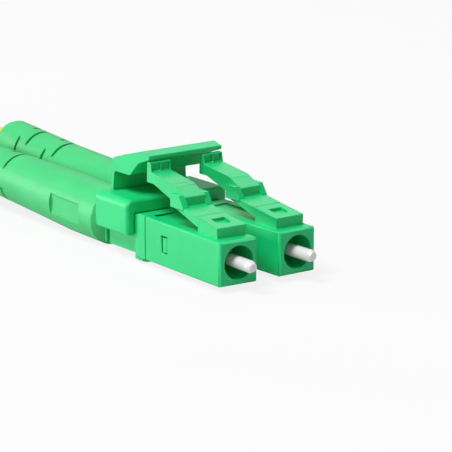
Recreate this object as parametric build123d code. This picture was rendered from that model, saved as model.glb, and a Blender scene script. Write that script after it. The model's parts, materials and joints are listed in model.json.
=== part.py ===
from build123d import *
import os
from math import atan, cos, degrees, pi, radians, sin, tan

os.makedirs("parts", exist_ok=True)

# Duplex LC/APC fibre patch cord, in millimetres. Each plug is modelled in its own frame:
# X across, Y from the front face back towards the boot, Z up, origin on the ferrule's axis
# in the plane of the front face. Two plugs, a clip and a trigger make one end of the cord.

# Front housing
plug_width = 4.5
housing_length = 13.0
face_edge = 0.20
long_edge = 0.12
front_bore_radius = 1.70
front_bore_depth = 3.6
inner_wall = 0.8
nose_clearance = 0.06
cavity_radius = 1.75
seam_gap = 0.10
window_y = 9.15
window_length = 1.05
window_height = 1.75
recess_width = 2.5
recess_depth = 0.20
recess_y = 6.0

# Latch, moulded on the housing and bending behind its root
block_y = 1.25
block_width = 3.4
block_height = 1.08
block_slope = 0.145
dimple_offset = 0.8
dimple_width = 1.6
dimple_length = 1.6
dimple_depth = 0.12
latch_root_y = 4.75
latch_root_height = 1.0
latch_root_radius = 0.42
latch_step_y = 7.44
latch_step_height = 0.90
latch_lug_width = 3.56
latch_lug_length = 1.85
latch_lug_slope = 0.75
latch_lug_lead = 0.40
latch_lug_rise = 0.17
latch_heel = 0.40
latch_arm_width = 2.4
latch_tail_y = 13.45
latch_tail_rise = 1.37
latch_tail_thickness = 1.10
tail_plate_height = 0.95
tail_plate_thickness = 0.55
tail_foot_thickness = 0.85
tail_plate_lean = 0.22
arm_crown_share = 0.62
arm_crown_radius = 3.0
panel_recess = 0.12
panel_height = 0.72
panel_rim = 0.12

# Rear body, spigot and crimp tube
collar_length = 1.40
neck_length = 0.80
shank_width = 4.0
shank_end_y = 20.05
spigot_y = 8.0
spigot_bore_radius = 1.35
tab_clearance = 0.15
spring_seat_y = 11.0
body_bore_radius = 0.80
crimp_tube_radius = 1.20
crimp_tube_length = 5.4
throat_radius = 1.45
fin_y = 20.6
fin_thickness = 0.30
foot_pad_width = 4.2
foot_pad_length = 2.4
foot_pad_height = 0.32
foot_pad_offset = 0.2
foot_pad_corner = 0.5

# Ferrule, flange and spring
ferrule_radius = 0.625
ferrule_length = 6.5
ferrule_protrusion = 2.45
ferrule_tip_angle = 8.0
ferrule_tip_chamfer = 0.22
ferrule_shank_radius = 0.45
flange_nose_length = 1.05
flange_nose_radius = 1.0
flange_hex_radius = 1.5
flange_hex_length = 1.75
flange_tail_radius = 0.72
flange_tail_length = 3.8
fibre_bore_radius = 0.25
spring_radius = 1.08
spring_wire = 0.25
spring_turns = 5
spring_sides = 10

# Crimp sleeve and boot
sleeve_wall = 0.28
sleeve_gap = 0.10
sleeve_fit = 0.02
sleeve_neck = 0.5
sleeve_tail = 2.1
boot_y = 21.05
boot_front_radius = 1.90
boot_collar_length = 0.25
boot_flare_length = 0.95
boot_flare_radius = 2.88
boot_widest_y = 28.0
boot_end_y = 51.5
boot_end_wall = 1.30
boot_wall_gap = 0.04
boot_front_bore_length = 8.0
boot_end_radius = 0.9
boot_tilt_a = 2.6
boot_tilt_b = 1.95
boot_curl_a = -0.37
boot_curl_b = 1.29
slot_ring_y = 40.0
slot_ring_gap = 1.75
slot_pair_pitch = 5.3
slot_pairs = 2
slot_width = 0.42
slots_per_ring = 3
slot_arc = 76.0
slot_first_angle = 111.0
panel_front_y = 24.6
panel_length = 5.4
panel_half_height = 1.1
boot_panel_depth = 0.28

# Duplex clip and trigger
plug_pitch = 6.25
plug_splay = 1.5
splay_y = 17.0
clip_front_y = 15.3
clip_back_y = 20.9
clip_wall = 1.05
clip_roof = 1.45
clip_skirt = 2.1
clip_top_radius = 0.8
clip_edge_radius = 0.35
clip_clearance = 0.05
trigger_width = 8.9
trigger_root_y = 20.35
trigger_root_radius = 0.30
trigger_web = 0.50
trigger_bar_y = 13.85
trigger_bar_thickness = 0.37
trigger_gap = 0.25
trigger_ceiling = 2.05
trigger_root_drop = 0.05
trigger_wave_depth = 0.65
trigger_hump = 0.30

# Running clearance between a hinge root and its groove, and between sliding or seated rounds
root_clearance = 0.03
fit_clearance = 0.01
seat_clearance = 0.05

# Cord: two 2 mm legs at each end, and one twin flat cord between them
cord_diameter = 2.0
twin_pitch = 2.1
cord_in_boot = 5.5
cord_bore_clearance = 0.03
coil_inner_radius = 19.0
coil_outer_radius = 23.2
coil_layers = 3.35
layer_rise = 2.02
lead_length = 19.0
coil_slack = 0.05
floor_gap = 0.05
leg_bend_length = 6.5
leg_drop_length = 22.5
leg_length = 25.5
run_length = 3.0

# Values worked out from the ones above
plug_top = plug_width / 2
latch_root_z = plug_top + latch_root_height
cavity_y = front_bore_depth + inner_wall
collar_end_y = housing_length + collar_length
shank_y = collar_end_y + neck_length
flange_y = cavity_y + seat_clearance - flange_nose_length
hex_y = flange_y + flange_nose_length
tail_y = hex_y + flange_hex_length
ferrule_back_y = ferrule_length - ferrule_protrusion
sleeve_y = boot_y + boot_collar_length + sleeve_gap
sleeve_radius = crimp_tube_radius + sleeve_fit + sleeve_wall
boot_bore_radius = sleeve_radius + seat_clearance
cord_radius = cord_diameter / 2
leg_start_y = boot_end_y - cord_in_boot
boot_end_outer = cord_radius + boot_end_wall
clip_top_z = shank_width / 2 + clip_roof
clip_bottom_z = clip_top_z - clip_roof - clip_skirt
clip_half_width = plug_pitch / 2 + shank_width / 2 + clip_wall
trigger_root_z = clip_top_z - trigger_root_drop


def half_gap(y):
    """Distance from a plug's axis to the plane midway between the two plugs."""
    return plug_pitch / 2 - (y - splay_y) * tan(radians(plug_splay))


def boot_radius(y):
    """Outer radius of the boots: widest where they touch, then an even taper to the cord."""
    widest = half_gap(boot_y) - boot_wall_gap / 2
    if y < boot_widest_y:
        share = (y - boot_y) / (boot_widest_y - boot_y)
        return boot_flare_radius + (widest - boot_flare_radius) * share
    share = (y - boot_widest_y) / (boot_end_y - boot_widest_y)
    return widest + (boot_end_outer - widest) * share


def boot_frame(side, y):
    """Frame on a boot's axis, which leaves its plug straight back, tilts up and curls."""
    length = boot_end_y - boot_y
    run = y - boot_y
    tilt = boot_tilt_a if side < 0 else boot_tilt_b
    curl = boot_curl_a if side < 0 else boot_curl_b
    slope = tan(radians(tilt))
    height = slope * run + curl * (run / length) ** 2
    angle = degrees(atan(slope + 2 * curl * run / length**2))
    return Pos(side * half_gap(boot_y), y, height) * Rot(X=angle)


def rod(radius, y0, y1):
    """Round bar along the plug's axis from y0 to y1."""
    bar = Cylinder(radius, y1 - y0, align=(Align.CENTER, Align.CENTER, Align.MIN))
    return Pos(0, y0, 0) * Rot(X=-90) * bar


def cross_rod(radius, width, y, z):
    """Round bar across the plug, centred on X = 0."""
    return Pos(0, y, z) * Rot(Y=90) * Cylinder(radius, width)


def block(x0, x1, y0, y1, z0, z1):
    """Box between two corners."""
    middle = Pos((x0 + x1) / 2, (y0 + y1) / 2, (z0 + z1) / 2)
    return middle * Box(x1 - x0, y1 - y0, z1 - z0)


def square_bar(width, y0, y1, edge):
    """Square bar along Y with its four long edges taken off."""
    bar = block(-width / 2, width / 2, y0, y1, -width / 2, width / 2)
    return chamfer(bar.edges().filter_by(Axis.Y), edge)


def side_profile(corners, x0, x1):
    """Extrude an outline of (y, z, corner radius) across the plug from x0 to x1."""
    points = [(y, z) for y, z, _ in corners]
    radii = [radius for _, _, radius in corners]
    outline = make_face(FilletPolyline(*points, radius=radii, close=True))
    solid = extrude(Plane.YZ * outline, x1 - x0)
    return Pos(x0, 0, 0) * solid


def turned(corners):
    """Revolve an outline of (radius, y) about the plug's axis."""
    outline = make_face(Polyline(*corners, close=True))
    return revolve(outline, Axis.Y)


def latch_block():
    """Fixed front block of the latch, with a groove that the arm's root turns in."""
    top = plug_top + block_height
    back = latch_root_y
    back_top = top + block_slope * (back - block_y)
    groove_foot = back - latch_heel / 2
    corners = [
        (block_y, plug_top - 0.1, 0),
        (block_y, top, 0.12),
        (back, back_top, 0),
        (back, latch_root_z, 0),
        (groove_foot, latch_root_z - latch_root_radius, 0),
        (groove_foot, plug_top - 0.1, 0),
    ]
    solid = side_profile(corners, -block_width / 2, block_width / 2)
    solid -= cross_rod(latch_root_radius + root_clearance, block_width * 2, back, latch_root_z)
    dimple_y = block_y + dimple_offset
    floor = top + block_slope * (dimple_y - block_y) - dimple_depth
    front = Pos(0, dimple_y + dimple_width / 2, floor) * extrude(Circle(dimple_width / 2), 1)
    rear = block(
        -dimple_width / 2,
        dimple_width / 2,
        dimple_y + dimple_width / 2,
        dimple_y + dimple_length,
        floor,
        floor + 1,
    )
    return solid - front - rear


def housing():
    """Front housing: bore round the ferrule, cavity behind it, snap windows, latch block."""
    half = plug_width / 2
    shell = block(-half, half, 0, housing_length, -half, half)
    shell = chamfer(shell.edges().filter_by(Axis.Y), long_edge)
    shell = chamfer(shell.faces().sort_by(Axis.Y)[0].edges(), face_edge)
    shell += latch_block()
    shell -= rod(front_bore_radius, -1, front_bore_depth)
    shell -= rod(flange_nose_radius + nose_clearance, 0, cavity_y + 1)
    shell -= rod(cavity_radius, cavity_y, housing_length + 1)
    window = block(-half - 1, half + 1, window_y, window_y + window_length, 0, window_height)
    shell -= Pos(0, 0, -window_height / 2) * window
    recess_half = recess_width / 2
    trough = block(
        -recess_half,
        recess_half,
        recess_y + recess_half,
        housing_length + 1,
        half - recess_depth,
        half + 1,
    )
    nose = Pos(0, recess_y + recess_half, half - recess_depth) * extrude(Circle(recess_half), 1)
    return shell - trough - nose


def latch():
    """Latch arm: round root, wide front with two lugs, step, slim rear and end plate."""
    root_y = latch_root_y
    root_z = latch_root_z
    start = root_y + root_clearance
    block_top = plug_top + block_height
    start_top = block_top + block_slope * (start - block_y)
    step_foot = block_top + block_slope * (latch_step_y - block_y)
    step_top = step_foot + latch_step_height
    tail_top = step_top + latch_tail_rise
    tail_foot = tail_top - latch_tail_thickness
    root_low = root_z - latch_root_radius
    slope = (tail_foot - root_low) / (latch_tail_y - root_y)

    def underside(y):
        return root_low + slope * (y - root_y)

    lug_end = latch_step_y + latch_lug_length
    lug_top = step_top + latch_lug_rise
    lug_front = latch_step_y - latch_lug_lead
    wide = [
        (start, root_low + 0.12, 0),
        (start, start_top, 0),
        (latch_step_y, step_foot, 0),
        (lug_end, step_foot, 0),
        (lug_end, underside(lug_end), 0),
        (start + latch_heel, underside(start + latch_heel), 0.3),
    ]
    lug = [
        (lug_front, step_foot - 0.3, 0),
        (lug_front, step_foot, 0),
        (lug_front + latch_lug_slope, lug_top, 0.08),
        (lug_end, lug_top, 0.08),
        (lug_end, step_foot - 0.3, 0),
    ]
    plate_back = latch_tail_y + tail_plate_lean + tail_plate_thickness
    foot_back = latch_tail_y + tail_foot_thickness
    plate_top = tail_top + tail_plate_height
    crown = (latch_step_y + latch_tail_y) / 2 - 1.0
    slim = [
        (latch_step_y, step_foot - 0.5, 0),
        (latch_step_y, step_top, 0.1),
        (crown, step_top + latch_tail_rise * arm_crown_share, arm_crown_radius),
        (latch_tail_y, tail_top, 0),
        (latch_tail_y + tail_plate_lean, plate_top, 0.08),
        (plate_back, plate_top, 0.08),
        (foot_back, tail_foot, 0.12),
        (latch_tail_y - latch_heel, tail_foot, 0.4),
        (lug_end, underside(lug_end), 0),
    ]
    half = block_width / 2
    arm_half = latch_arm_width / 2
    lug_half = latch_lug_width / 2
    solid = side_profile(wide, -half, half)
    solid += cross_rod(latch_root_radius, block_width, root_y, root_z)
    solid += side_profile(slim, -arm_half, arm_half)
    for side in (-1, 1):
        inner = side * (arm_half - 0.1)
        outer = side * lug_half
        solid += side_profile(lug, min(inner, outer), max(inner, outer))
    panel_width = (latch_arm_width - 3 * panel_rim) / 2
    panel_z = plate_top - panel_rim - panel_height
    panel_back = latch_tail_y + tail_plate_lean + panel_recess
    for side in (-1, 1):
        middle = side * (panel_width + panel_rim) / 2
        solid -= block(
            middle - panel_width / 2,
            middle + panel_width / 2,
            latch_tail_y - 1,
            panel_back,
            panel_z,
            panel_z + panel_height,
        )
    return solid


def body_outline(grow, reach):
    """Outside of the rear body, grown by a clearance: collar, tapered neck and square shank."""
    collar = plug_width / 2 + grow
    shank = shank_width / 2 + grow
    collar_y = housing_length + seam_gap
    bar = square_bar(collar * 2, collar_y, collar_end_y, long_edge)
    neck_front = Plane.XZ.offset(-collar_end_y) * Rectangle(collar * 2, collar * 2)
    neck_back = Plane.XZ.offset(-shank_y) * Rectangle(shank * 2, shank * 2)
    bar += loft([neck_front, neck_back])
    return bar + block(-shank, shank, shank_y, reach, -shank, shank)


def rear_body():
    """Rear body: spigot with snap tabs, spring seat, shank in the clip, fin and crimp tube."""
    body = body_outline(0, shank_end_y)
    spigot_radius = cavity_radius - seat_clearance
    body += rod(spigot_radius, spigot_y, collar_end_y)
    tab_height = window_height - 2 * tab_clearance
    tab_length = window_length - 2 * tab_clearance
    tab_y = window_y + fit_clearance
    tab = block(-plug_width / 2, plug_width / 2, tab_y, tab_y + tab_length, 0, tab_height)
    body += Pos(0, 0, -tab_height / 2) * tab
    pad_y = housing_length + foot_pad_offset
    pad = block(
        -foot_pad_width / 2,
        foot_pad_width / 2,
        pad_y,
        pad_y + foot_pad_length,
        -plug_width / 2 - foot_pad_height,
        -shank_width / 2,
    )
    body += chamfer(pad.edges().filter_by(Axis.Z), foot_pad_corner)
    half = shank_width / 2
    body += block(-half, half, fin_y, fin_y + fin_thickness, -half, half)
    body += rod(throat_radius, spring_seat_y, sleeve_y - sleeve_gap)
    tube_end = shank_end_y + crimp_tube_length
    body += rod(crimp_tube_radius, spring_seat_y, tube_end)
    body -= rod(spigot_bore_radius, spigot_y - 1, spring_seat_y)
    body -= rod(body_bore_radius, spring_seat_y - 1, tube_end + 1)
    return body


def ferrule():
    """Ceramic ferrule: chamfered tip polished at eight degrees, shank held in the flange."""
    tip_y = -ferrule_protrusion
    taper = ferrule_radius - ferrule_tip_chamfer
    solid = turned(
        [
            (0, tip_y),
            (taper, tip_y),
            (ferrule_radius, tip_y + ferrule_tip_chamfer * 2),
            (ferrule_radius, flange_y),
            (ferrule_shank_radius, flange_y),
            (ferrule_shank_radius, ferrule_back_y),
            (0, ferrule_back_y),
        ]
    )
    size = plug_width
    cutter = Box(size, size, size, align=(Align.CENTER, Align.MAX, Align.CENTER))
    rise = taper * tan(radians(ferrule_tip_angle))
    return solid - Pos(0, tip_y + rise, 0) * Rot(X=ferrule_tip_angle) * cutter


def ferrule_flange():
    """Metal flange that holds the ferrule: nose, hexagon and tail inside the spring."""
    socket = ferrule_shank_radius + fit_clearance
    tail_end = tail_y + flange_tail_length
    solid = rod(flange_nose_radius, flange_y, hex_y)
    hexagon = RegularPolygon(flange_hex_radius, 6)
    solid += Pos(0, hex_y, 0) * Rot(X=-90) * extrude(hexagon, flange_hex_length)
    solid += rod(flange_tail_radius, tail_y, tail_end)
    solid -= rod(socket, flange_y - 1, ferrule_back_y + fit_clearance)
    return solid - rod(fibre_bore_radius, flange_y, tail_end + 1)


def spring():
    """Compression spring of square wire between the flange's hexagon and its seat."""
    half_wire = spring_wire / 2
    start = tail_y + half_wire + fit_clearance
    end = spring_seat_y - half_wire - fit_clearance
    steps = spring_turns * spring_sides
    points = []
    for step in range(steps + 1):
        angle = 2 * pi * step / spring_sides
        along = start + (end - start) * step / steps
        points.append((spring_radius * cos(angle), along, spring_radius * sin(angle)))
    line = Polyline(*points)
    section = Plane(line @ 0, z_dir=line % 0) * Rectangle(spring_wire, spring_wire)
    return sweep(section, path=line, transition=Transition.RIGHT)


def crimp_sleeve():
    """Steel crimp sleeve over the crimp tube, narrowed behind it onto the cord."""
    inner = crimp_tube_radius + sleeve_fit
    tube_end = shank_end_y + crimp_tube_length + sleeve_gap
    cord_inner = cord_radius + sleeve_fit
    tail_start = tube_end + sleeve_neck
    tail_end = tail_start + sleeve_tail
    return turned(
        [
            (inner, sleeve_y),
            (sleeve_radius, sleeve_y),
            (sleeve_radius, tube_end),
            (cord_inner + sleeve_wall, tail_start),
            (cord_inner + sleeve_wall, tail_end),
            (cord_inner, tail_end),
            (cord_inner, tail_start),
            (inner, tube_end),
        ]
    )


def slot_cutters(side, y, first_angle):
    """One ring of flex slots: flat-bottomed cuts across the boot's wall, evenly spaced."""
    radius = boot_radius(y)
    floor = radius * cos(radians(slot_arc / 2))
    cutter = Pos(radius, 0, 0) * Box(2 * (radius - floor), slot_width, 2 * radius)
    place = boot_frame(side, y)
    angles = [first_angle + index * 360 / slots_per_ring for index in range(slots_per_ring)]
    return [place * Rot(Y=-angle) * cutter for angle in angles]


def boot_tube(side, stations):
    """Round tube through (y, radius) stations along a boot's bent axis."""
    rings = [boot_frame(side, y) * (Plane.XZ * Circle(radius)) for y, radius in stations]
    return loft(rings, ruled=True)


def boot(side):
    """Soft strain relief: collar, flare, taper, flex slots and a flat panel on one side."""
    collar_y = boot_y + boot_collar_length
    flare_y = collar_y + boot_flare_length
    middle_y = (boot_widest_y + boot_end_y) / 2
    round_y = boot_end_y - boot_end_radius
    stations = [
        (boot_y, boot_front_radius),
        (collar_y, boot_front_radius),
        (flare_y, boot_radius(flare_y)),
        (boot_widest_y, boot_radius(boot_widest_y)),
        (middle_y, boot_radius(middle_y)),
        (round_y, boot_radius(round_y)),
        (boot_end_y - boot_end_radius * 0.3, boot_radius(round_y) - boot_end_radius * 0.3),
        (boot_end_y, boot_radius(round_y) - boot_end_radius),
    ]
    bore = cord_radius + cord_bore_clearance
    bore_end = boot_y + boot_front_bore_length
    solid = boot_tube(side, stations)
    solid -= plug_place(side) * rod(boot_bore_radius, boot_y - 1, bore_end)
    solid -= boot_tube(side, [(bore_end - 1, bore), (middle_y, bore), (leg_start_y, bore), (boot_end_y + 1, bore)])
    for pair in range(slot_pairs):
        ring_y = slot_ring_y + pair * slot_pair_pitch
        turned_by = 180 / slots_per_ring
        cutters = slot_cutters(side, ring_y, slot_first_angle)
        cutters += slot_cutters(side, ring_y + slot_ring_gap, slot_first_angle + turned_by)
        for cutter in cutters:
            solid -= cutter
    flat = boot_radius(panel_front_y) - boot_panel_depth
    deep = boot_panel_depth * 4
    height = panel_half_height * 2
    panel = Pos(side * (flat + deep / 2), panel_length / 2, 0) * Box(deep, panel_length, height)
    return solid - boot_frame(side, panel_front_y) * panel


def plug_place(side):
    """Where a plug sits in its end of the cord: half the pitch out, splayed at the front."""
    to_pivot = Pos(side * plug_pitch / 2, splay_y, 0)
    return to_pivot * Rot(Z=side * plug_splay) * Pos(0, -splay_y, 0)


def duplex_clip():
    """Saddle over both rear bodies, with a groove for the trigger's root."""
    half = clip_half_width
    saddle = block(-half, half, clip_front_y, clip_back_y, clip_bottom_z, clip_top_z)
    top = saddle.faces().sort_by(Axis.Z)[-1]
    saddle = fillet(top.edges().filter_by(Axis.Y), clip_top_radius)
    front = saddle.faces().sort_by(Axis.Y)[0]
    bottom = front.edges().sort_by(Axis.Z)[0]
    saddle = fillet([edge for edge in front.edges() if edge != bottom], clip_edge_radius)
    for side in (-1, 1):
        saddle -= plug_place(side) * body_outline(clip_clearance, clip_back_y + clip_wall)
    groove = cross_rod(
        trigger_root_radius + root_clearance,
        trigger_width + 2 * seat_clearance,
        trigger_root_y,
        trigger_root_z,
    )
    return saddle - groove


def trigger():
    """Trigger over both latches: thin web, wavy underside and a bar above the end plates."""
    web_front = trigger_root_y - trigger_web / 2
    web_back = trigger_root_y + trigger_web / 2
    ceiling = clip_top_z + trigger_ceiling
    block_top = plug_top + block_height
    step_top = block_top + block_slope * (latch_step_y - block_y) + latch_step_height
    plate_top = step_top + latch_tail_rise + tail_plate_height
    bar_low = plate_top + trigger_gap
    bar_top = bar_low + trigger_bar_thickness
    reach = web_front - trigger_bar_y
    corners = [
        (web_front, trigger_root_z, 0),
        (web_front, ceiling, 0.45),
        (trigger_bar_y + reach * 0.55, ceiling, 0.8),
        (trigger_bar_y + reach * 0.30, bar_low - trigger_wave_depth, 1.2),
        (trigger_bar_y, bar_low, 0.08),
        (trigger_bar_y, bar_top, 0.12),
        (trigger_bar_y + reach * 0.20, bar_top + trigger_hump, 0.7),
        (trigger_bar_y + reach * 0.74, bar_top - trigger_wave_depth, 1.5),
        (web_back - trigger_web * 0.3, bar_top - trigger_wave_depth * 2, 0.7),
        (web_back, ceiling - trigger_hump, 0.5),
        (web_back, trigger_root_z, 0),
    ]
    half = trigger_width / 2
    solid = side_profile(corners, -half, half)
    return solid + cross_rod(trigger_root_radius, trigger_width, trigger_root_y, trigger_root_z)


def route_radii(points):
    """Radius of each corner: as large as its two runs allow."""
    steps = [Vector(*b) - Vector(*a) for a, b in zip(points, points[1:])]
    radii = []
    for first, second in zip(steps, steps[1:]):
        half_turn = radians(first.get_angle(second)) / 2
        radii.append(0.45 * min(first.length, second.length) / tan(half_turn))
    return radii


def cord_tube(name, points):
    """Sweep a leg's round along straight runs joined by tangent arcs, and print its figures."""
    radii = route_radii(points)
    path = FilletPolyline(*points, radius=radii)
    face = Plane(path @ 0, x_dir=(1, 0, 0), z_dir=path % 0) * Circle(cord_radius)
    tube = sweep(face, path=path)
    share = tube.volume / (pi * cord_radius**2 * path.length)
    sizes = [round(radius, 1) for radius in radii]
    print(name, "length", round(path.length, 1), "radii", sizes, "volume share", round(share, 4))
    return tube


def plug_parts(side):
    """All pieces of one plug in the frame of its end of the cord."""
    place = plug_place(side)
    pieces = {
        "housing": housing(),
        "latch": latch(),
        "rear_body": rear_body(),
        "ferrule": ferrule(),
        "ferrule_flange": ferrule_flange(),
        "spring": spring(),
        "crimp_sleeve": crimp_sleeve(),
    }
    placed = {name: place * piece for name, piece in pieces.items()}
    placed["boot"] = boot(side)
    return placed


def connector_end():
    """One end of the cord: two plugs, the clip that holds them and the trigger."""
    pieces = {"duplex_clip": duplex_clip(), "trigger": trigger()}
    for letter, side in (("a", -1), ("b", 1)):
        for name, piece in plug_parts(side).items():
            pieces[f"plug_{letter}_{name}"] = piece
    return pieces


# The near end stands in the row's frame: origin below the middle of its box, on the floor.
end_pieces = connector_end()
near_box = Compound(list(end_pieces.values())).bounding_box()
middle_y = (near_box.min.Y + near_box.max.Y) / 2
floor_z = near_box.min.Z
near_place = Pos(0, -middle_y, -floor_z)
axis_z = -floor_z

# The cord leaves each boot as two legs, which join into one flat twin cord on the floor.
cord_z = cord_radius + floor_gap
leg_bend_y = boot_end_y + leg_bend_length
leg_floor_y = boot_end_y + leg_drop_length
leg_end_y = boot_end_y + leg_length


def leg_points(side, place, height):
    """Route of one leg from inside its boot to the end of the twin cord."""
    inside = boot_frame(side, leg_start_y)
    exit_frame = boot_frame(side, boot_end_y)
    forward = (exit_frame.position - inside.position).normalized()
    bend = Pos(*(exit_frame.position + forward * leg_bend_length))
    twin_x = side * twin_pitch / 2
    down = cord_z - height
    local = [
        inside.position,
        bend.position,
        Vector(twin_x, leg_floor_y, down),
        Vector(twin_x, leg_end_y, down),
    ]
    return [tuple((place * Pos(*point)).position) for point in local]


# The coil has an outer and an inner column of turns. The twin cord enters on the outer one
# and leaves on the inner one, back towards the far end, which lies beside the near end.
lead_y = leg_end_y - middle_y + run_length
coil_y = lead_y + lead_length
coil_x = -coil_outer_radius
coil_top_z = cord_z + coil_layers * layer_rise
far_x = coil_x - coil_inner_radius
far_place = Pos(far_x, 0, 0) * near_place

twin_half = twin_pitch / 2 + cord_radius


def twin_straight(x, end_y, length):
    """Straight twin cord on the floor, from end_y forwards towards the plugs."""
    face = Plane.XZ * SlotOverall(twin_half * 2, cord_diameter)
    return Pos(x, end_y, cord_z) * extrude(face, length)


def cord_coil():
    """Outer shape of the coiled length, with the leads that enter and leave it."""
    low = cord_z - cord_radius - coil_slack
    high = coil_top_z + cord_radius + coil_slack
    width = coil_outer_radius - coil_inner_radius + 2 * (twin_half + coil_slack)
    middle_radius = (coil_outer_radius + coil_inner_radius) / 2
    section = Plane.XZ * Pos(middle_radius, (low + high) / 2) * Rectangle(width, high - low)
    solid = Pos(coil_x, coil_y, 0) * revolve(section, Axis.Z)
    solid += twin_straight(0, coil_y, lead_length)
    solid += twin_straight(far_x, coil_y, lead_length)
    return solid


nodes = {}
for name, piece in end_pieces.items():
    nodes[name] = near_place * piece
    nodes[f"far_{name}"] = far_place * piece
for letter, side in (("a", -1), ("b", 1)):
    near_route = leg_points(side, near_place, axis_z)
    far_route = leg_points(side, far_place, axis_z)
    nodes[f"cord_leg_{letter}"] = cord_tube(f"cord_leg_{letter}", near_route)
    nodes[f"far_cord_leg_{letter}"] = cord_tube(f"far_cord_leg_{letter}", far_route)
nodes["cord_run"] = twin_straight(0, lead_y, run_length)
nodes["cord_tail"] = twin_straight(far_x, lead_y, run_length)
nodes["cord_coil"] = cord_coil()

for name, solid in nodes.items():
    export_step(solid, f"parts/{name}.step")
print("origin shift", round(middle_y, 3), round(floor_z, 3), "far end at x", round(far_x, 3))
print("coil centre", round(coil_x, 3), round(coil_y, 3), "lead from y", round(lead_y, 3))
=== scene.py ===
import json
import math

import bmesh
import bpy
from mathutils import Matrix, Vector

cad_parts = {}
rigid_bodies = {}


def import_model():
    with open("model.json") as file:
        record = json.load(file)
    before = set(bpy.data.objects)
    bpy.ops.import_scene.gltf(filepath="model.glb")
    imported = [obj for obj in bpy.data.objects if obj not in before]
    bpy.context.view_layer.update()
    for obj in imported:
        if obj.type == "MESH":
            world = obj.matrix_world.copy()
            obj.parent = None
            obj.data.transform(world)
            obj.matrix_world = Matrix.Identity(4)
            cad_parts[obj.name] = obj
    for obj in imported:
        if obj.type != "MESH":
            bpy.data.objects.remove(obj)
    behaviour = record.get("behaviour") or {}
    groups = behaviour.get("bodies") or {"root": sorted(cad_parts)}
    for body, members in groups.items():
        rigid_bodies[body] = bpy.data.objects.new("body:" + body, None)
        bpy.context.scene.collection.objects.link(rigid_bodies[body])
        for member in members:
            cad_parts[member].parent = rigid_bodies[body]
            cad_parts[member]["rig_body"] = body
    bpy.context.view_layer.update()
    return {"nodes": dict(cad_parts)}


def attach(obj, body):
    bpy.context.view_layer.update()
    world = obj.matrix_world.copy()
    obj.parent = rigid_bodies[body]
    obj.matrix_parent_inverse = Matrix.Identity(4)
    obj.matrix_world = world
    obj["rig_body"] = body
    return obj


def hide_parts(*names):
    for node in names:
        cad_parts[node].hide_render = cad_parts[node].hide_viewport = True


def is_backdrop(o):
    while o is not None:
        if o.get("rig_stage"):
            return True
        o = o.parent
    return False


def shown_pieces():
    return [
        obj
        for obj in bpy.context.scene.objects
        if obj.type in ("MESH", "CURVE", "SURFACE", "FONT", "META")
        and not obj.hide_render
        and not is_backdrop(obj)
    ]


bl_info = {
    "name": "Duplex fibre patch cord",
    "version": (1, 0, 0),
    "blender": (4, 5, 0),
    "location": "View3D > Sidebar > Patch cord",
    "description": "Finishes a duplex fibre patch cord and sets up its studio",
    "category": "Object",
}

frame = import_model()

MM = 0.001
ENDS = ("", "far_")
SIDES = ("a", "b")

# The photo's camera: focal length in photo pixels, turns in degrees, and its place
# from the middle of the plugs' front faces, in millimetres along its own axes.
PHOTO_LENS_PIXELS = 2896.745
PHOTO_PIXELS = 452
SENSOR_MM = 36.0
CAMERA_TURN, CAMERA_TILT, CAMERA_ROLL = -36.312, 76.001, 0.133
CAMERA_PLACE = (-4.126, 3.021, 281.393)
FACES_MIDDLE = (0.0, -24.612, 2.856)

# Lamps: name, place in metres, power in watts and diameter in metres.
LAMP_AIM = (0.0, 0.0, 5 * MM)
LAMPS = (
    ("gloss_lamp", (-0.34, 0.42, 0.085), 1.8, 0.15),
    ("back_lamp", (0.30, 0.27, 0.36), 0.65, 0.30),
    ("top_lamp", (-0.24, -0.02, 0.42), 2.4, 0.25),
    ("edge_lamp", (-0.20, -0.30, 0.20), 0.09, 0.08),
)
AMBIENT = 0.15

# How white the floor and the surroundings look to the camera, and in reflections.
FLOOR_WHITE = (0.85, 0.2)
WORLD_WHITE = (1.0, 0.25)
FLOOR_SIZE = 4.0

# Limits for the copies of the CAD nodes, in millimetres, square millimetres and
# radians. Only long, sharp edges between roomy faces are rounded.
MERGE = 0.002
LONG_EDGE = 0.8
ROOMY_FACE = 0.3
FLAT_ANGLE = math.radians(0.8)
SHARP_ANGLE = math.radians(28.0)

# A boot's front rim: the depth of the points that count as its front end, and the
# share of the end's radius outside which they are on the rim.
RIM_DEPTH = 0.02
RIM_SHARE = 0.93

# Route points of each stretch, the same as in the part's source, in millimetres.
FAR_X = -42.2
CORD_Z = 1.05
LEG_ROUTES = {
    "a": [
        (-3.019, 21.388, 3.741),
        (-3.019, 33.386, 4.020),
        (-1.05, 49.388, CORD_Z),
        (-1.05, 52.388, CORD_Z),
    ],
    "b": [
        (3.019, 21.388, 4.572),
        (3.019, 33.348, 5.901),
        (1.05, 49.388, CORD_Z),
        (1.05, 52.388, CORD_Z),
    ],
}

# Where each near leg comes out of its boot's narrow bore.
BOOT_EXITS = {"a": (-3.019, 26.888, 3.869), "b": (3.019, 26.888, 5.183)}

# The twin cord: where it starts, where its lead to the coil starts, and the coil.
TWIN_Y = 52.388
LEAD_Y = 55.388
COIL_CENTRE = (-23.2, 74.388)
COIL_OUTER = 23.2
COIL_INNER = 19.0
LAYER_RISE = 2.02
POINTS_PER_TURN = 12

# The twin's section: half the gap of each strand's outline at the web, and its points.
WEB_HALF_ANGLE = math.radians(25.0)
STRAND_POINTS = 14

# The strap round the coil: how far the cord rises to make room for it, how quickly
# that rise fades beside it, its corner radius, and where its middle runs below the
# cord, in gauges, and above it, in layers.
TIE_LIFT = 0.4
TIE_LIFT_SHARPNESS = 4
TIE_CORNER = 1.0
TIE_LOW_GAUGES = 0.55
TIE_LAYERS = 3.05

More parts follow.
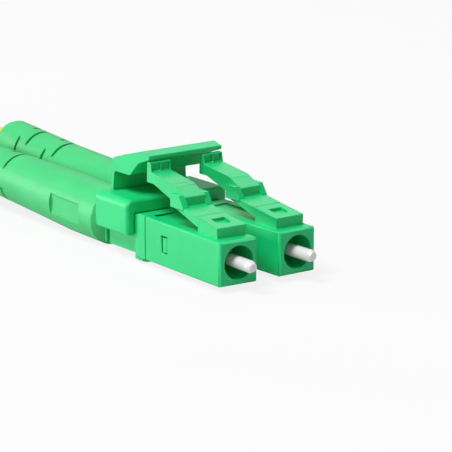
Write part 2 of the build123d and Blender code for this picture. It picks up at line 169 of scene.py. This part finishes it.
# The coil from its entry: turns wound so far, radius, and layer above the floor.
COIL_STEPS = (
    (0.0, COIL_OUTER, 0.0),
    (0.5, COIL_OUTER, 1.0),
    (1.0, COIL_OUTER, 1.0),
    (1.5, COIL_OUTER, 2.0),
    (2.0, COIL_OUTER, 2.0),
    (2.5, COIL_OUTER, 3.0),
    (3.0, COIL_OUTER, 3.0),
    (3.1, COIL_OUTER, 3.3),
    (3.3, COIL_INNER, 3.3),
    (3.45, COIL_INNER, 3.0),
    (4.0, COIL_INNER, 3.0),
    (4.17, COIL_INNER, 2.0),
    (5.0, COIL_INNER, 2.0),
    (5.17, COIL_INNER, 1.0),
    (6.0, COIL_INNER, 1.0),
    (6.17, COIL_INNER, 0.0),
    (6.5, COIL_INNER, 0.0),
)


class Wire:
    """A node's output in a material, on which Python's operators add Math nodes."""

    def __init__(self, tree, socket=None):
        self.tree = tree
        self.socket = socket

    def node(self, kind, settings=None, sockets=None, output=0):
        """Adds a node: its settings first, then the values or links of its sockets."""
        made = self.tree.nodes.new(kind)
        for name, value in (settings or {}).items():
            setattr(made, name, value)
        for name, value in (sockets or {}).items():
            if isinstance(value, Wire):
                self.tree.links.new(value.socket, made.inputs[name])
            else:
                made.inputs[name].default_value = value
        return Wire(self.tree, made.outputs[output] if made.outputs else None)

    def maths(self, operation, first, second):
        return self.node(
            "ShaderNodeMath", {"operation": operation}, {0: first, 1: second}
        )

    def __add__(self, other):
        return self.maths("ADD", self, other)

    __radd__ = __add__

    def __sub__(self, other):
        return self.maths("SUBTRACT", self, other)

    def __rsub__(self, other):
        return self.maths("SUBTRACT", other, self)

    def __mul__(self, other):
        return self.maths("MULTIPLY", self, other)

    __rmul__ = __mul__

    def clamp(self):
        return self.node("ShaderNodeClamp", None, {"Value": self})

    def between(self, low, high):
        """Runs from 0 at low to 1 at high, smoothly."""
        return self.node(
            "ShaderNodeMapRange",
            {"interpolation_type": "SMOOTHSTEP"},
            {"Value": self, "From Min": low, "From Max": high},
        )

    def blend_colours(self, first, second):
        """The first colour where this mask is 0, and the second where it is 1.

        The sockets go by number, because the Mix node repeats their names.
        """
        return self.node(
            "ShaderNodeMix",
            {"data_type": "RGBA"},
            {0: self, 6: first, 7: second},
            output=2,
        )


def start_material(name):
    """An empty material, the tree's first wire and its Object coordinates."""
    material = bpy.data.materials.new(name)
    material.use_nodes = True
    material.node_tree.nodes.clear()
    bench = Wire(material.node_tree)
    place = bench.node("ShaderNodeTexCoord", output="Object")
    return material, bench, place


def principled(bench, sockets):
    """Ends a material with one Principled shader."""
    shader = bench.node("ShaderNodeBsdfPrincipled", None, sockets)
    bench.node("ShaderNodeOutputMaterial", None, {"Surface": shader})


def noise(bench, place, scale, detail=3.0):
    """Cloudy noise between 0 and 1; the scale is in cells per metre."""
    return bench.node(
        "ShaderNodeTexNoise",
        None,
        {"Vector": place, "Scale": scale, "Detail": detail, "Roughness": 0.55},
    )


def stretched_noise(bench, place, stretch, scale):
    """Noise on coordinates stretched along the axes, for flow and machining marks."""
    mapped = bench.node("ShaderNodeMapping", None, {"Vector": place, "Scale": stretch})
    return noise(bench, mapped, scale, 2.0)


def bump(bench, height, strength, distance):
    """The normal that a height between 0 and 1 gives, at a depth in metres."""
    return bench.node(
        "ShaderNodeBump",
        None,
        {"Height": height, "Strength": strength, "Distance": distance},
    )


def colour4(rgb, share=1.0):
    """A colour with its brightness changed by a share, as a socket wants it."""
    return (rgb[0] * share, rgb[1] * share, rgb[2] * share, 1.0)


def moulded_plastic(name, rgb, roughness, grain, soft=0.0):
    """Moulded plastic: cloudy colour, faint flow lines and a fine, uneven grain."""
    material, bench, place = start_material(name)
    cloud = noise(bench, place, 260.0)
    speck = noise(bench, place, 2600.0, 2.0)
    flow = stretched_noise(bench, place, (1.0, 0.12, 1.0), 900.0)
    tint = (cloud * 0.7 + flow * 0.3).between(0.3, 0.7)
    colour = tint.blend_colours(colour4(rgb, 0.93), colour4(rgb, 1.05))
    rough = roughness + (cloud - 0.5) * 0.16 + (speck - 0.5) * 0.1
    height = speck * grain + cloud * 0.4 + flow * 0.25
    principled(
        bench,
        {
            "Base Color": colour,
            "Roughness": rough.clamp(),
            "Specular IOR Level": 0.5 - soft * 0.15,
            "Normal": bump(bench, height, 0.25, 0.03 * MM),
        },
    )
    return material


def ceramic(name, rgb):
    """Polished zirconia: glossy white, faintly cloudy, with fine grinding rings."""
    material, bench, place = start_material(name)
    cloud = noise(bench, place, 500.0)
    rings = stretched_noise(bench, place, (0.1, 6.0, 0.1), 1600.0)
    colour = cloud.between(0.3, 0.7).blend_colours(colour4(rgb, 0.95), colour4(rgb))
    principled(
        bench,
        {
            "Base Color": colour,
            "Roughness": (0.16 + rings * 0.12).clamp(),
            "Subsurface Weight": 0.5,
            "Subsurface Radius": (1.0, 0.9, 0.85),
            "Subsurface Scale": 0.7 * MM,
            "Coat Weight": 0.4,
            "Coat Roughness": 0.08,
            "Normal": bump(bench, rings * 0.5 + cloud * 0.5, 0.08, 0.01 * MM),
        },
    )
    return material


def turned_metal(name, rgb, roughness, marks):
    """Turned and plated metal: lathe marks round the plug's axis and uneven gloss."""
    material, bench, place = start_material(name)
    lathe = stretched_noise(bench, place, (0.15, marks, 0.15), 1800.0)
    cloud = noise(bench, place, 700.0)
    colour = cloud.between(0.3, 0.7).blend_colours(colour4(rgb, 0.88), colour4(rgb))
    rough = roughness + (lathe - 0.5) * 0.25 + (cloud - 0.5) * 0.1
    principled(
        bench,
        {
            "Base Color": colour,
            "Metallic": 1.0,
            "Roughness": rough.clamp(),
            "Normal": bump(bench, lathe + cloud * 0.4, 0.3, 0.01 * MM),
        },
    )
    return material


def cord_jacket(name, rgb):
    """Extruded jacket: satin, slightly cloudy colour with a fine grain."""
    material, bench, place = start_material(name)
    cloud = noise(bench, place, 180.0)
    grain = noise(bench, place, 3200.0, 2.0)
    colour = (cloud * 0.8 + grain * 0.2).between(0.3, 0.7).blend_colours(
        colour4(rgb, 0.92), colour4(rgb, 1.04)
    )
    principled(
        bench,
        {
            "Base Color": colour,
            "Roughness": (0.42 + (grain - 0.5) * 0.18 + (cloud - 0.5) * 0.1).clamp(),
            "Normal": bump(bench, grain * 0.7 + cloud * 0.5, 0.3, 0.03 * MM),
        },
    )
    return material


def woven_strap(name, rgb):
    """Woven strap: crossing threads in its bump and a matt, slightly uneven black."""
    material, bench, place = start_material(name)
    cloud = noise(bench, place, 400.0)
    weave = bench.node(
        "ShaderNodeTexVoronoi", None, {"Vector": place, "Scale": 3500.0}
    )
    colour = cloud.between(0.3, 0.7).blend_colours(colour4(rgb, 0.8), colour4(rgb, 1.4))
    principled(
        bench,
        {
            "Base Color": colour,
            "Roughness": (0.8 + (cloud - 0.5) * 0.2).clamp(),
            "Normal": bump(bench, weave, 0.6, 0.08 * MM),
        },
    )
    return material


class PatchCordFinishes(bpy.types.PropertyGroup):
    """Colours and gloss of the patch cord's own pieces."""

    plug_green: bpy.props.FloatVectorProperty(
        name="Plug green",
        description="Colour of the housings, clips, latch arms and rear bodies",
        subtype="COLOR",
        default=(0.003, 0.56, 0.175),
        min=0.0,
        max=1.0,
    )
    boot_green: bpy.props.FloatVectorProperty(
        name="Boot green",
        description="Colour of the soft strain-relief boots",
        subtype="COLOR",
        default=(0.05, 0.51, 0.17),
        min=0.0,
        max=1.0,
    )
    ferrule_white: bpy.props.FloatVectorProperty(
        name="Ferrule white",
        description="Colour of the ceramic ferrules",
        subtype="COLOR",
        default=(0.78, 0.755, 0.775),
        min=0.0,
        max=1.0,
    )
    jacket_yellow: bpy.props.FloatVectorProperty(
        name="Jacket yellow",
        description="Colour of the cord's jacket",
        subtype="COLOR",
        default=(0.86, 0.60, 0.02),
        min=0.0,
        max=1.0,
    )
    plug_gloss: bpy.props.FloatProperty(
        name="Plug roughness",
        description="Roughness of the plugs' moulded plastic",
        subtype="FACTOR",
        default=0.48,
        min=0.0,
        max=1.0,
    )


class PatchCordSizes(bpy.types.PropertyGroup):
    """Sizes of the cord and of what holds its coil."""

    strand: bpy.props.FloatProperty(
        name="Strand diameter",
        description="Diameter of one strand's jacket",
        default=2.0 * MM,
        unit="LENGTH",
    )
    pitch: bpy.props.FloatProperty(
        name="Strand pitch",
        description="Distance between the two strands' middles",
        default=2.1 * MM,
        unit="LENGTH",
    )
    plug_edge: bpy.props.FloatProperty(
        name="Plug edge rounding",
        description="How far the plugs' long edges are rounded",
        default=0.08 * MM,
        unit="LENGTH",
    )
    latch_edge: bpy.props.FloatProperty(
        name="Latch edge rounding",
        description="How far the edges of the latch arms are rounded",
        default=0.06 * MM,
        unit="LENGTH",
    )
    clip_edge: bpy.props.FloatProperty(
        name="Clip edge rounding",
        description="How far the edges of the clips and triggers are rounded",
        default=0.16 * MM,
        unit="LENGTH",
    )
    boot_rim: bpy.props.FloatProperty(
        name="Boot rim rounding",
        description="How far the front rim of each boot is rounded",
        default=0.2 * MM,
        unit="LENGTH",
    )
    tie_width: bpy.props.FloatProperty(
        name="Tie width",
        description="Width of the strap that holds the coil",
        default=6.0 * MM,
        unit="LENGTH",
    )
    tie_gauge: bpy.props.FloatProperty(
        name="Tie thickness",
        description="Thickness of the strap that holds the coil",
        default=0.35 * MM,
        unit="LENGTH",
    )


def of_each_plug(kind):
    """The names of one kind of CAD node in all four plugs."""
    return [f"{end}plug_{side}_{kind}" for end in ENDS for side in SIDES]


def piece_name(node_name):
    """Name of the finished piece that stands for a CAD node."""
    return node_name.replace("plug_", "").replace("duplex_", "") + "_finished"


def merged_shape(node):
    """The CAD node's shape with its doubled points merged and its flat faces joined."""
    shape = bmesh.new()
    shape.from_mesh(node.data)
    bmesh.ops.remove_doubles(shape, verts=shape.verts, dist=MERGE * MM)
    bmesh.ops.dissolve_limit(
        shape,
        angle_limit=FLAT_ANGLE,
        use_dissolve_boundaries=False,
        verts=shape.verts,
        edges=shape.edges,
    )
    return shape


def round_front_rim(shape, rim):
    """Rounds the outer edge of the front end, and leaves the bore's edge sharp."""
    front = min(v.co.y for v in shape.verts)
    ends = [v for v in shape.verts if v.co.y < front + RIM_DEPTH * MM]
    middle = sum((v.co for v in ends), Vector()) / len(ends)
    reach = max((v.co - middle).length for v in ends)
    outer = {v for v in ends if (v.co - middle).length > reach * RIM_SHARE}
    bmesh.ops.bevel(
        shape,
        geom=[e for e in shape.edges if set(e.verts) <= outer],
        offset=rim,
        segments=4,
        profile=0.5,
        affect="EDGES",
        clamp_overlap=True,
        material=-1,
    )


def finished_piece(node_name, material, rounding=0.0, rim=0.0):
    """Replaces a CAD node by a smooth copy with rounded long edges or front rim."""
    node = frame["nodes"][node_name]
    shape = merged_shape(node)
    if rim:
        round_front_rim(shape, rim)
    weight = shape.edges.layers.float.new("bevel_weight_edge")
    for edge in shape.edges:
        sharp = len(edge.link_faces) == 2 and edge.calc_face_angle() > SHARP_ANGLE
        long = edge.calc_length() > LONG_EDGE * MM
        roomy = all(face.calc_area() > ROOMY_FACE * MM**2 for face in edge.link_faces)
        if sharp and long and roomy:
            edge[weight] = 1.0
        edge.smooth = not sharp
    for face in shape.faces:
        face.smooth = True
    name = piece_name(node_name)
    mesh = bpy.data.meshes.new(name)
    shape.to_mesh(mesh)
    shape.free()
    mesh.materials.append(material)
    piece = bpy.data.objects.new(name, mesh)
    bpy.context.scene.collection.objects.link(piece)
    if rounding:
        soft = piece.modifiers.new("rounded_edges", "BEVEL")
        soft.limit_method = "WEIGHT"
        soft.width = rounding
        soft.segments = 2
        soft.use_clamp_overlap = False
    even = piece.modifiers.new("even_shading", "WEIGHTED_NORMAL")
    even.keep_sharp = True
    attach(piece, node["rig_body"])
    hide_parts(node_name)


class PATCHCORD_OT_plugs(bpy.types.Operator):
    """Finish the housings, latch arms and rear bodies of the four plugs"""

    bl_idname = "patchcord.plugs"
    bl_label = "Plugs"

    def execute(self, context):
        finishes = context.scene.patch_cord_finishes
        sizes = context.scene.patch_cord_sizes
        green = moulded_plastic(
            "green_plug_plastic", finishes.plug_green, finishes.plug_gloss, 0.5
        )
        for kind, rounding in (
            ("housing", sizes.plug_edge),
            ("rear_body", sizes.plug_edge),
            ("latch", sizes.latch_edge),
        ):
            for name in of_each_plug(kind):
                finished_piece(name, green, rounding)
        return {"FINISHED"}


class PATCHCORD_OT_clips(bpy.types.Operator):
    """Finish the duplex clips and their triggers"""

    bl_idname = "patchcord.clips"
    bl_label = "Clips and triggers"

    def execute(self, context):
        finishes = context.scene.patch_cord_finishes
        sizes = context.scene.patch_cord_sizes
        green = moulded_plastic(
            "green_clip_plastic", finishes.plug_green, finishes.plug_gloss + 0.04, 0.7
        )
        for end in ENDS:
            for kind in ("duplex_clip", "trigger"):
                finished_piece(end + kind, green, sizes.clip_edge)
        return {"FINISHED"}


class PATCHCORD_OT_boots(bpy.types.Operator):
    """Finish the strain-relief boots"""

    bl_idname = "patchcord.boots"
    bl_label = "Boots"

    def execute(self, context):
        finishes = context.scene.patch_cord_finishes
        sizes = context.scene.patch_cord_sizes
        rubber = moulded_plastic(
            "green_boot_rubber", finishes.boot_green, 0.55, 1.0, soft=1.0
        )
        for name in of_each_plug("boot"):
            finished_piece(name, rubber, rim=sizes.boot_rim)
        return {"FINISHED"}


class PATCHCORD_OT_ferrules(bpy.types.Operator):
    """Finish the ferrules, their flanges, the springs and the crimp sleeves"""

    bl_idname = "patchcord.ferrules"
    bl_label = "Ferrules and metal pieces"

    def execute(self, context):
        finishes = context.scene.patch_cord_finishes
        white = ceramic("zirconia_ceramic", finishes.ferrule_white)
        nickel = turned_metal("nickel_plate", (0.72, 0.70, 0.66), 0.26, 5.0)
        steel = turned_metal("spring_wire_steel", (0.55, 0.55, 0.56), 0.32, 1.0)
        for name in of_each_plug("ferrule"):
            finished_piece(name, white)
        for kind in ("ferrule_flange", "crimp_sleeve"):
            for name in of_each_plug(kind):
                finished_piece(name, nickel)
        for name in of_each_plug("spring"):
            finished_piece(name, steel)
        return {"FINISHED"}


def metres(point):
    """A point of a route, in metres."""
    return tuple(part * MM for part in point)


def smooth_curve(name, route, material, resolution):
    """An open smooth curve whose control points are the route's."""
    data = bpy.data.curves.new(name, "CURVE")
    data.dimensions = "3D"
    data.resolution_u = resolution
    data.render_resolution_u = resolution
    data.use_fill_caps = True
    spline = data.splines.new("NURBS")
    spline.points.add(len(route) - 1)
    for point, place in zip(spline.points, route):
        point.co = (*metres(place), 1.0)
    spline.order_u = 3
    spline.use_endpoint_u = True
    piece = bpy.data.objects.new(name, data)
    bpy.context.scene.collection.objects.link(piece)
    data.materials.append(material)
    return piece


def coil_step(turns):
    """Radius and layer of the coil after a number of turns."""
    for (t0, r0, n0), (t1, r1, n1) in zip(COIL_STEPS, COIL_STEPS[1:]):
        if turns <= t1:
            share = (turns - t0) / (t1 - t0)
            return r0 + (r1 - r0) * share, n0 + (n1 - n0) * share
    return COIL_STEPS[-1][1:]


def coil_route():
    """Control points of the coil: corners of a polygon round each turn's circle."""
    step = math.pi / POINTS_PER_TURN
    route = []
    for i in range(round(COIL_STEPS[-1][0] * POINTS_PER_TURN)):
        angle = (2 * i + 1) * step
        radius, layer = coil_step((i + 0.5) / POINTS_PER_TURN)
        under_tie = max(0.0, math.cos(angle - math.pi / 2)) ** TIE_LIFT_SHARPNESS
        route.append(
            (
                COIL_CENTRE[0] + radius / math.cos(step) * math.cos(angle),
                COIL_CENTRE[1] + radius / math.cos(step) * math.sin(angle),
                CORD_Z + layer * LAYER_RISE + TIE_LIFT * under_tie,
            )
        )
    return route


def twin_route():
    """Straight from the near legs, round the coil, and straight to the far legs."""
    corner = math.tan(math.pi / POINTS_PER_TURN)
    entry_y = COIL_CENTRE[1] - COIL_OUTER * corner
    leave_y = COIL_CENTRE[1] - COIL_INNER * corner
    return [
        (0.0, TWIN_Y, CORD_Z),
        (0.0, LEAD_Y, CORD_Z),
        (0.0, entry_y, CORD_Z),
        *coil_route(),
        (FAR_X, leave_y, CORD_Z),
        (FAR_X, LEAD_Y, CORD_Z),
        (FAR_X, TWIN_Y, CORD_Z),
    ]


def twin_section(strand, pitch):
    """The outline of the two strands and their web, kept out of the scene itself."""
    data = bpy.data.curves.new("twin_section", "CURVE")
    data.dimensions = "2D"
    spline = data.splines.new("POLY")
    sweep = 2 * (math.pi - WEB_HALF_ANGLE)
    outline = []
    for middle, start in ((pitch / 2, -math.pi), (-pitch / 2, 0.0)):
        for i in range(STRAND_POINTS):
            angle = start + WEB_HALF_ANGLE + sweep * i / (STRAND_POINTS - 1)
            x = middle + strand / 2 * math.cos(angle)
            outline.append((x, strand / 2 * math.sin(angle)))
    spline.points.add(len(outline) - 1)
    for point, (x, y) in zip(spline.points, outline):
        point.co = (x, y, 0.0, 1.0)
    spline.use_cyclic_u = True
    spline.use_smooth = True
    return bpy.data.objects.new("twin_section", data)


def pieces_on_far_leg(side):
    """The pieces at the end of a far leg: its plug, and on leg a the clip as well."""
    starts = [f"far_{side}_"]
    if side == "a":
        starts += ["far_clip", "far_trigger"]
    return [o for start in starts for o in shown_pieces() if o.name.startswith(start)]


class PATCHCORD_OT_cord(bpy.types.Operator):
    """Lay the four single legs and the twin cord with its coil"""

    bl_idname = "patchcord.cord"
    bl_label = "Cord"

    def execute(self, context):
        finishes = context.scene.patch_cord_finishes
        sizes = context.scene.patch_cord_sizes
        yellow = cord_jacket("yellow_cord_jacket", finishes.jacket_yellow)
        for end, shift in (("", 0.0), ("far_", FAR_X)):
            for side in SIDES:
                route = [(x + shift, y, z) for x, y, z in LEG_ROUTES[side]]
                leg = smooth_curve(f"{end}leg_{side}_jacket", route, yellow, 16)
                leg.data.bevel_mode = "ROUND"
                leg.data.bevel_depth = sizes.strand / 2
                leg.data.bevel_resolution = 6
                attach(leg, "root")
                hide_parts(f"{end}cord_leg_{side}")
                metres(route[-1] if end else BOOT_EXITS[side])
                pieces_on_far_leg(side) if end else []
        twin = smooth_curve("twin_jacket", twin_route(), yellow, 6)
        twin.data.bevel_mode = "OBJECT"
        twin.data.bevel_object = twin_section(sizes.strand, sizes.pitch)
        twin.data.twist_mode = "Z_UP"
        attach(twin, "root")
        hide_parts("cord_run", "cord_coil", "cord_tail")
        return {"FINISHED"}


class PATCHCORD_OT_tie(bpy.types.Operator):
    """Wrap the strap that holds the coil"""

    bl_idname = "patchcord.tie"
    bl_label = "Coil tie"

    def execute(self, context):
        sizes = context.scene.patch_cord_sizes
        gauge = sizes.tie_gauge
        inner = COIL_INNER * MM - sizes.pitch / 2 - sizes.strand / 2
        outer = COIL_OUTER * MM + sizes.pitch / 2 + sizes.strand / 2
        low = gauge * TIE_LOW_GAUGES
        high = (CORD_Z + TIE_LAYERS * LAYER_RISE + TIE_LIFT) * MM + sizes.strand / 2
        strap = bmesh.new()
        bmesh.ops.create_grid(strap, x_segments=1, y_segments=1, size=0.5)
        bmesh.ops.scale(
            strap,
            vec=(outer - inner + gauge, high - low + gauge, 1.0),
            verts=strap.verts,
        )
        bmesh.ops.bevel(
            strap,
            geom=strap.verts[:],
            offset=TIE_CORNER * MM,
            segments=5,
            profile=0.5,
            affect="VERTICES",
            material=-1,
        )
        bmesh.ops.delete(strap, geom=strap.faces[:], context="FACES_ONLY")
        bmesh.ops.rotate(
            strap, matrix=Matrix.Rotation(math.pi / 2, 3, "X"), verts=strap.verts
        )
        pulled = bmesh.ops.extrude_edge_only(strap, edges=strap.edges[:])
        moved = [v for v in pulled["geom"] if isinstance(v, bmesh.types.BMVert)]
        bmesh.ops.translate(strap, vec=(0.0, sizes.tie_width, 0.0), verts=moved)
        bmesh.ops.recalc_face_normals(strap, faces=strap.faces)
        bmesh.ops.solidify(strap, geom=strap.faces[:], thickness=gauge)
        bmesh.ops.rotate(
            strap, matrix=Matrix.Rotation(math.pi / 2, 3, "Z"), verts=strap.verts
        )
        bmesh.ops.translate(
            strap,
            vec=(
                COIL_CENTRE[0] * MM + sizes.tie_width / 2,
                COIL_CENTRE[1] * MM + (inner + outer) / 2,
                (low + high) / 2,
            ),
            verts=strap.verts,
        )
        bmesh.ops.recalc_face_normals(strap, faces=strap.faces)
        mesh = bpy.data.meshes.new("coil_tie")
        strap.to_mesh(mesh)
        strap.free()
        black = woven_strap("black_hook_strap", (0.03, 0.03, 0.035))
        mesh.materials.append(black)
        tie = bpy.data.objects.new("coil_tie", mesh)
        context.scene.collection.objects.link(tie)
        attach(tie, "root")
        return {"FINISHED"}


def hang_lamp(name, place, power, diameter):
    """A round soft lamp that shines on the middle of the near plugs."""
    data = bpy.data.lights.new(name, "AREA")
    data.energy = power
    data.shape = "DISK"
    data.size = diameter
    lamp = bpy.data.objects.new(name, data)
    bpy.context.scene.collection.objects.link(lamp)
    lamp.location = place
    lamp.rotation_mode = "QUATERNION"
    beam = Vector(LAMP_AIM) - Vector(place)
    lamp.rotation_quaternion = beam.to_track_quat("-Z", "Y")


def seen_white(bench, direct, mirrored):
    """Share of white shown to the camera itself, and in mirrored or refracted rays."""
    rays = [
        bench.node("ShaderNodeLightPath", output=name)
        for name in ("Is Camera Ray", "Is Glossy Ray", "Is Transmission Ray")
    ]
    return (rays[0] * direct + (rays[1] + rays[2]) * mirrored).clamp()


def paper_floor():
    """White paper that keeps the object's shadow."""
    material, bench, place = start_material("white_paper")
    cloud = noise(bench, place, 40.0)
    white = cloud.between(0.2, 0.8).blend_colours(
        (0.66, 0.66, 0.66, 1.0), (0.70, 0.70, 0.70, 1.0)
    )
    paper = bench.node(
        "ShaderNodeBsdfPrincipled",
        None,
        {"Base Color": white, "Roughness": 0.9, "Specular IOR Level": 0.1},
    )
    glow = bench.node(
        "ShaderNodeEmission", None, {"Color": (1.0, 1.0, 1.0, 1.0), "Strength": 1.0}
    )
    share = seen_white(bench, *FLOOR_WHITE)
    mixed = bench.node("ShaderNodeMixShader", None, {0: share, 1: paper, 2: glow})
    bench.node("ShaderNodeOutputMaterial", None, {"Surface": mixed})
    return material


def lay_floor():
    """The white paper floor at z = 0, which belongs to the stage."""
    shape = bmesh.new()
    bmesh.ops.create_grid(shape, x_segments=1, y_segments=1, size=FLOOR_SIZE)
    mesh = bpy.data.meshes.new("studio_floor")
    shape.to_mesh(mesh)
    shape.free()
    mesh.materials.append(paper_floor())
    floor = bpy.data.objects.new("studio_floor", mesh)
    bpy.context.scene.collection.objects.link(floor)
    floor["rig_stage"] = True


def studio_world():
    """Dim white light from all sides, seen as plain white by the camera."""
    world = bpy.data.worlds.new("studio_light")
    world.use_nodes = True
    world.node_tree.nodes.clear()
    bench = Wire(world.node_tree)
    strength = AMBIENT + seen_white(bench, *WORLD_WHITE) * (1.0 - AMBIENT)
    sky = bench.node(
        "ShaderNodeBackground",
        None,
        {"Color": (1.0, 1.0, 1.0, 1.0), "Strength": strength},
    )
    bench.node("ShaderNodeOutputWorld", None, {"Surface": sky})
    return world


def photo_camera():
    """The camera at the place and angle from which the photo was taken."""
    axes = (
        Matrix.Rotation(math.radians(CAMERA_TURN), 3, "Z")
        @ Matrix.Rotation(math.radians(CAMERA_TILT), 3, "X")
        @ Matrix.Rotation(math.radians(CAMERA_ROLL), 3, "Z")
    )
    place = axes @ Vector(CAMERA_PLACE) + Vector(FACES_MIDDLE)
    data = bpy.data.cameras.new("photo_camera")
    data.sensor_width = SENSOR_MM
    data.lens = PHOTO_LENS_PIXELS / PHOTO_PIXELS * SENSOR_MM
    data.clip_start = 0.01
    data.clip_end = 20.0
    camera = bpy.data.objects.new("photo_camera", data)
    bpy.context.scene.collection.objects.link(camera)
    camera.matrix_world = Matrix.Translation(place * MM) @ axes.to_4x4()
    return camera


class PATCHCORD_OT_stage(bpy.types.Operator):
    """Lay the floor, hang the lamps and set up the camera"""

    bl_idname = "patchcord.stage"
    bl_label = "Floor, lamps and camera"

    def execute(self, context):
        scene = context.scene
        lay_floor()
        scene.world = studio_world()
        for lamp in LAMPS:
            hang_lamp(*lamp)
        scene.camera = photo_camera()
        scene.view_settings.view_transform = "Standard"
        return {"FINISHED"}


class PATCHCORD_PT_panel(bpy.types.Panel):
    """The patch cord's steps, in the order in which they are made"""

    bl_idname = "PATCHCORD_PT_panel"
    bl_label = "Patch cord"
    bl_space_type = "VIEW_3D"
    bl_region_type = "UI"
    bl_category = "Patch cord"

    def draw(self, context):
        scene = context.scene
        for group in (scene.patch_cord_sizes, scene.patch_cord_finishes):
            for name in group.bl_rna.properties.keys():
                if name not in ("rna_type", "name"):
                    self.layout.prop(group, name)
        for step in STEPS:
            self.layout.operator(step.bl_idname)


STEPS = (
    PATCHCORD_OT_stage,
    PATCHCORD_OT_plugs,
    PATCHCORD_OT_clips,
    PATCHCORD_OT_boots,
    PATCHCORD_OT_ferrules,
    PATCHCORD_OT_cord,
    PATCHCORD_OT_tie,
)
CLASSES = (PatchCordFinishes, PatchCordSizes, *STEPS, PATCHCORD_PT_panel)


def register():
    for each in CLASSES:
        bpy.utils.register_class(each)
    bpy.types.Scene.patch_cord_finishes = bpy.props.PointerProperty(
        type=PatchCordFinishes
    )
    bpy.types.Scene.patch_cord_sizes = bpy.props.PointerProperty(type=PatchCordSizes)


def unregister():
    del bpy.types.Scene.patch_cord_sizes
    del bpy.types.Scene.patch_cord_finishes
    for each in reversed(CLASSES):
        bpy.utils.unregister_class(each)


def main():
    register()
    for step in STEPS:
        group, name = step.bl_idname.split(".")
        getattr(getattr(bpy.ops, group), name)()


if __name__ == "__main__":
    main()
